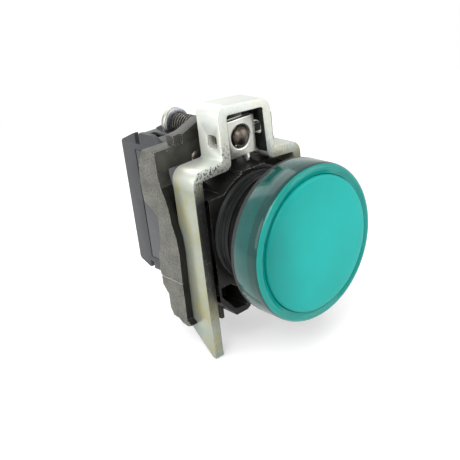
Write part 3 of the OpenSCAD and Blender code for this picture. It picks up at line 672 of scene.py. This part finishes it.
def makePlate():
    s = plateSet
    bm = slabMesh([(-s["half"], s["low"]), (s["half"], s["low"]), (s["half"], s["high"]), (-s["half"], s["high"])],
                  s["front"], s["rear"])
    hole = bmesh.new()
    spinProfile(hole, [(0, 10.0), (s["sink"] + 0.3, 10.0), (s["sink"], s["front"]), (s["bore"], s["front"] + 0.5),
                       (s["bore"], 13.0), (0, 13.0)], 48)
    bmesh.ops.translate(hole, vec=(0, 0, screwHeight * mm), verts=hole.verts[:])
    bm = softenEdges(cutAway(bm, hole), s["edge"], 3, 40)
    newPiece("pressedPlate", bm, "clamp", [plateZinc, plateEdgeHighlight], ("clamp_plate",))
    for name, side in (("plateEarLeft", -1), ("plateEarRight", 1)):
        reach = sorted((side * (s["half"] - 0.2), side * s["earReach"]))
        # painted shade: the ears' faces are near-black, only their rounded edges keep the zinc
        ear = boxMesh(*zip(reach, s["earDepths"], s["earHeights"]))
        newPiece(name, softenEdges(ear, 0.12), "clamp", [earShade, plateZinc], ("clamp_plate",))
        foot = sorted(side * x for x in s["footSides"])
        corner = softenEdges(boxMesh(*zip(foot, s["footDepths"], s["footHeights"])), 0.1)
        newPiece(name + "Foot", corner, "clamp", [plateZinc, plateEdgeHighlight], ("clamp_plate",))
    # painted highlight: the tongue is all pale edge zinc, a bright glint under the plate
    tongue = softenEdges(boxMesh(*s["tongue"]), 0.1)
    newPiece("plateTongue", tongue, "clamp", [plateEdgeHighlight, plateEdgeHighlight], ("clamp_plate",))


screwSet = {"height": screwHeight, "pitch": 0.75, "root": 1.5, "crest": 2.05, "front": 12.4, "rear": 29.42,
            "turnSteps": 32,
            "head": [(0, 32.5), (0.9, 32.45), (1.7, 32.2), (2.35, 31.75), (2.75, 31.2), (2.88, 30.7), (2.88, 30.3),
                     (2.8, 30.08), (2.5, 30.0), (0, 30.0)],
            "neck": [(0, 9.7), (0.6, 9.75), (1.1, 9.92), (1.5, 10.2), (1.75, 10.6), (1.85, 11.1), (1.83, 11.3),
                     (1.6, 11.34), (1.6, 12.45), (0, 12.45)]}


def makeScrew():
    s = screwSet
    bm = bmesh.new()
    turns = int((s["rear"] - s["front"]) / s["pitch"]) + 3
    start = s["front"] - 1.5 * s["pitch"]
    profile = [(s["root"], 0.0), (s["root"], 0.2), (s["crest"], 0.5), (s["crest"], 0.58), (s["root"], 0.88),
               (s["root"], 1.0)]
    verts = [bm.verts.new((r * mm, (start + t * s["pitch"]) * mm, 0)) for r, t in profile]
    edges = [bm.edges.new((a, b)) for a, b in zip(verts, verts[1:])]
    bmesh.ops.spin(bm, geom=verts + edges, cent=(0, 0, 0), axis=(0, 1, 0), angle=2 * math.pi * turns,
                   steps=s["turnSteps"] * turns, dvec=(0, s["pitch"] * mm / s["turnSteps"], 0), use_merge=False)
    bmesh.ops.remove_doubles(bm, verts=bm.verts[:], dist=3e-6)
    for place, side in ((s["front"], -1), (s["rear"], 1)):
        bmesh.ops.bisect_plane(bm, geom=bm.verts[:] + bm.edges[:] + bm.faces[:], plane_co=(0, place * mm, 0),
                               plane_no=(0, side, 0), clear_outer=True)
        rim = [e for e in bm.edges if e.is_boundary and abs(edgeMiddle(e).y - place) < 0.01]
        bmesh.ops.contextual_create(bm, geom=rim)
    bmesh.ops.recalc_face_normals(bm, faces=bm.faces[:])
    bmesh.ops.translate(bm, vec=(0, 0, s["height"] * mm), verts=bm.verts[:])
    bm.normal_update()
    for face in bm.faces:
        middle = face.calc_center_median() / mm
        # painted shade: roots and the flanks facing front take the dark thread finish
        inRoot = math.hypot(middle.x, middle.z - s["height"]) < s["root"] + 0.12
        face.material_index = 1 if inRoot or face.normal.y < -0.25 else 0
    newPiece("screwThread", bm, "clamp_screw", [screwZinc, screwThreadShade], ("clamp_screw",), 50)

    bm = bmesh.new()
    spinProfile(bm, s["head"], 64)
    turn = Matrix.Rotation(math.radians(-40), 3, "Y")
    for low, high in (((-4, 30.9, -0.4), (4, 33, 0.4)), ((-0.35, 30.9, -1.5), (0.35, 33, 1.5))):
        bm = cutAway(bm, boxMesh(low, high, turn))
    softenEdges(bm, 0.05, 1, 50, edgeIndex=0)
    bmesh.ops.translate(bm, vec=(0, 0, s["height"] * mm), verts=bm.verts[:])
    newPiece("screwHead", bm, "clamp_screw", [screwZinc], ("clamp_screw",), 40)

    bm = bmesh.new()
    spinProfile(bm, s["neck"], 64)
    bmesh.ops.translate(bm, vec=(0, 0, s["height"] * mm), verts=bm.verts[:])
    newPiece("screwTip", bm, "clamp_screw", [screwTipBronze], ("clamp_screw",), 40)


washerSet = {"outline": [(2.1, 29.43), (2.65, 29.42), (2.8, 29.5), (2.82, 29.8), (2.74, 29.92), (2.1, 29.95),
                         (2.1, 29.43)]}


def makeWasher():
    bm = bmesh.new()
    spinProfile(bm, washerSet["outline"], 64)
    bmesh.ops.translate(bm, vec=(0, 0, screwSet["height"] * mm), verts=bm.verts[:])
    newPiece("springWasher", bm, "clamp_screw", [washerBlue], ("screw_washer",))


makeStirrup()
makePlate()
makeScrew()
makeWasher()
print("stage: clamp made")

# ---- locking ring, its pin and wire spring

ringSet = {"edge": 0.1, "pin": (-6.0, 13.95), "wire": 0.2,
           "rivet": [(0, 16.3), (0.62, 16.3), (0.7, 16.22), (1.05, 16.2), (1.22, 16.28), (1.25, 16.42), (1.2, 16.5),
                     (0.68, 16.52), (0.68, 17.38), (0, 17.38)]}


def makeRing():
    bm = softenEdges(mergedCopy("lock_ring"), ringSet["edge"])
    newPiece("lockingRing", bm, "lock_ring", [ringSteel, ringEdge], ("lock_ring",))
    px, pz = ringSet["pin"]
    bm = bmesh.new()
    spinProfile(bm, ringSet["rivet"], 48)
    bmesh.ops.translate(bm, vec=(px * mm, 0, pz * mm), verts=bm.verts[:])
    newPiece("pinRivet", bm, "light", [pinDark], ("spring_pin",))
    points = []
    for step in range(33):
        turn = math.radians(-70 - step * 20)
        points.append((px + 0.93 * math.cos(turn), 17.05 - step * 0.0105, pz + 0.93 * math.sin(turn)))
    first = [(px - 3.1, 17.05, pz - 1.9), (px - 3.6, 17.05, pz - 1.35), (px - 3.4, 17.05, pz - 0.75),
             (px - 2.2, 17.05, pz - 0.85), (px - 0.7, 17.05, pz - 1.0)]
    newPiece("hookWire", closedWire("hookWire", first + points, ringSet["wire"]), "light", [wireBronze],
             ("lock_spring",), 60)


makeRing()

# ---- clips at the feet of the arms

def makeClips():
    bm = softenEdges(mergedCopy("arm_clips"), 0.06)
    newPiece("footClips", bm, "light", [clipSteel, clipSteel], ("arm_clips",))


makeClips()
print("stage: ring and clips made")

# ---- lamp module

moduleSet = {"edge": 0.16, "coverEdge": 0.08, "springFoot": 4.05, "springLength": 2.7, "latchTravel": 1.2}


def makeModule():
    newPiece("moduleShell", softenEdges(mergedCopy("module_housing"), moduleSet["edge"]), "light",
             [housingGrey, housingEdge], ("module_housing",))
    newPiece("sideCover", softenEdges(mergedCopy("module_cover"), moduleSet["coverEdge"]), "light",
             [coverGrey, housingEdge], ("module_cover",))
    newPiece("thumbLatch", softenEdges(mergedCopy("module_latch"), 0.12), "latch",
             [latchGrey, housingEdge], ("module_latch",))


def makeLatchCoil():  # the latch spring's coil, given a mesh of its own
    coil = newPiece("latchCoil", mergedCopy("latch_spring"), "light", [wireBronze], ("latch_spring",))
    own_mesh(coil)


makeModule()
makeLatchCoil()
print("stage: module made")

# ---- camera, floor and light

cameraSet = {"place": (-91.53, -94.9, 59.47), "azimuth": -39.28, "elevation": 23.47,
             "roll": -6.55, "lens": 62.37, "sensor": 36.0}


def placeCamera():
    azimuth, elevation, roll = (math.radians(cameraSet[k]) for k in ("azimuth", "elevation", "roll"))
    back = Vector((math.sin(azimuth) * math.cos(elevation), -math.cos(azimuth) * math.cos(elevation),
                   math.sin(elevation)))
    right = (-back).cross(Vector((0, 0, 1))).normalized()
    up = right.cross(-back)
    camX = math.cos(roll) * right + math.sin(roll) * up
    camY = -math.sin(roll) * right + math.cos(roll) * up
    turn = Matrix((camX, camY, back)).transposed().to_4x4()
    data = bpy.data.cameras.new("camera")
    data.lens, data.sensor_width = cameraSet["lens"], cameraSet["sensor"]
    data.clip_start = 0.005
    camera = bpy.data.objects.new("camera", data)
    bpy.context.scene.collection.objects.link(camera)
    camera.matrix_world = Matrix.Translation(Vector(cameraSet["place"]) * mm) @ turn
    bpy.context.scene.camera = camera


placeCamera()

lightSet = {
    "key": {"place": (-0.35, -0.25, 0.45), "size": 0.35, "power": 2.15},
    "side": {"place": (-0.5, 0.1, 0.2), "size": 0.35, "power": 1.2},
    "fill": {"place": (0.35, -0.4, 0.25), "size": 0.4, "power": 1.1},
    "rear": {"place": (0.1, 0.45, 0.35), "size": 0.4, "power": 1.0},
}


def addLight(name, place, size, power):
    data = bpy.data.lights.new(name, "AREA")
    data.shape, data.size, data.energy = "SQUARE", size, power
    lamp = bpy.data.objects.new(name, data)
    bpy.context.scene.collection.objects.link(lamp)
    lamp.location = place
    lamp.rotation_euler = (Vector((0, 0.015, 0)) - Vector(place)).to_track_quat("-Z", "Y").to_euler()


for name, values in lightSet.items():
    addLight(name, **values)

floorSet = {"size": 4.0, "height": -0.0236, "tone": 0.9, "lift": 0.25, "fade": (0.09, 0.22)}


def seenRays(tree):  # camera, mirror and see-through rays
    rays = addNode(tree, "ShaderNodeLightPath")
    seen = sums(tree, "MAXIMUM", rays.outputs["Is Camera Ray"], rays.outputs["Is Glossy Ray"])
    return sums(tree, "MAXIMUM", seen, rays.outputs["Is Transmission Ray"])


def makeFloor():
    bm = bmesh.new()
    bmesh.ops.create_grid(bm, x_segments=1, y_segments=1, size=floorSet["size"] / 2)
    bmesh.ops.translate(bm, vec=(0, 0, floorSet["height"]), verts=bm.verts[:])
    mesh = bpy.data.meshes.new("floor")
    bm.to_mesh(mesh)
    bm.free()
    floor = bpy.data.objects.new("floor", mesh)
    bpy.context.scene.collection.objects.link(floor)
    material, tree, shader, coords = startMaterial("floorPale")
    tone = floorSet["tone"]
    setShader(shader, Base_Color=(tone, tone, tone), Roughness=0.9, Emission_Color=(1.0, 1.0, 1.0))
    tree.links.new(span(tree, seenRays(tree), 0, floorSet["lift"], 0, 1), shader.inputs["Emission Strength"])
    away = addNode(tree, "ShaderNodeVectorMath", {0: coords}, operation="LENGTH").outputs["Value"]
    plain = sums(tree, "MULTIPLY", span(tree, away, 0, 1, *floorSet["fade"]), seenRays(tree))
    glow = addNode(tree, "ShaderNodeEmission", {"Color": (1.0, 1.0, 1.0, 1.0), "Strength": 1.0})
    both = addNode(tree, "ShaderNodeMixShader", {0: plain})
    tree.links.new(shader.outputs[0], both.inputs[1])
    tree.links.new(glow.outputs[0], both.inputs[2])
    tree.links.new(both.outputs[0], tree.nodes["Material Output"].inputs["Surface"])
    mesh.materials.append(material)


makeFloor()

worldSet = {"seen": 1.0, "light": 0.55}


def makeWorld():
    world = bpy.data.worlds.new("studio")
    bpy.context.scene.world = world
    world.use_nodes = True
    tree = world.node_tree
    background = tree.nodes["Background"]
    background.inputs["Color"].default_value = (1, 1, 1, 1)
    strength = span(tree, seenRays(tree), worldSet["light"], worldSet["seen"], 0, 1)
    tree.links.new(strength, background.inputs["Strength"])


makeWorld()
bpy.context.scene.view_settings.view_transform = "Standard"
print("stage: camera and light set")
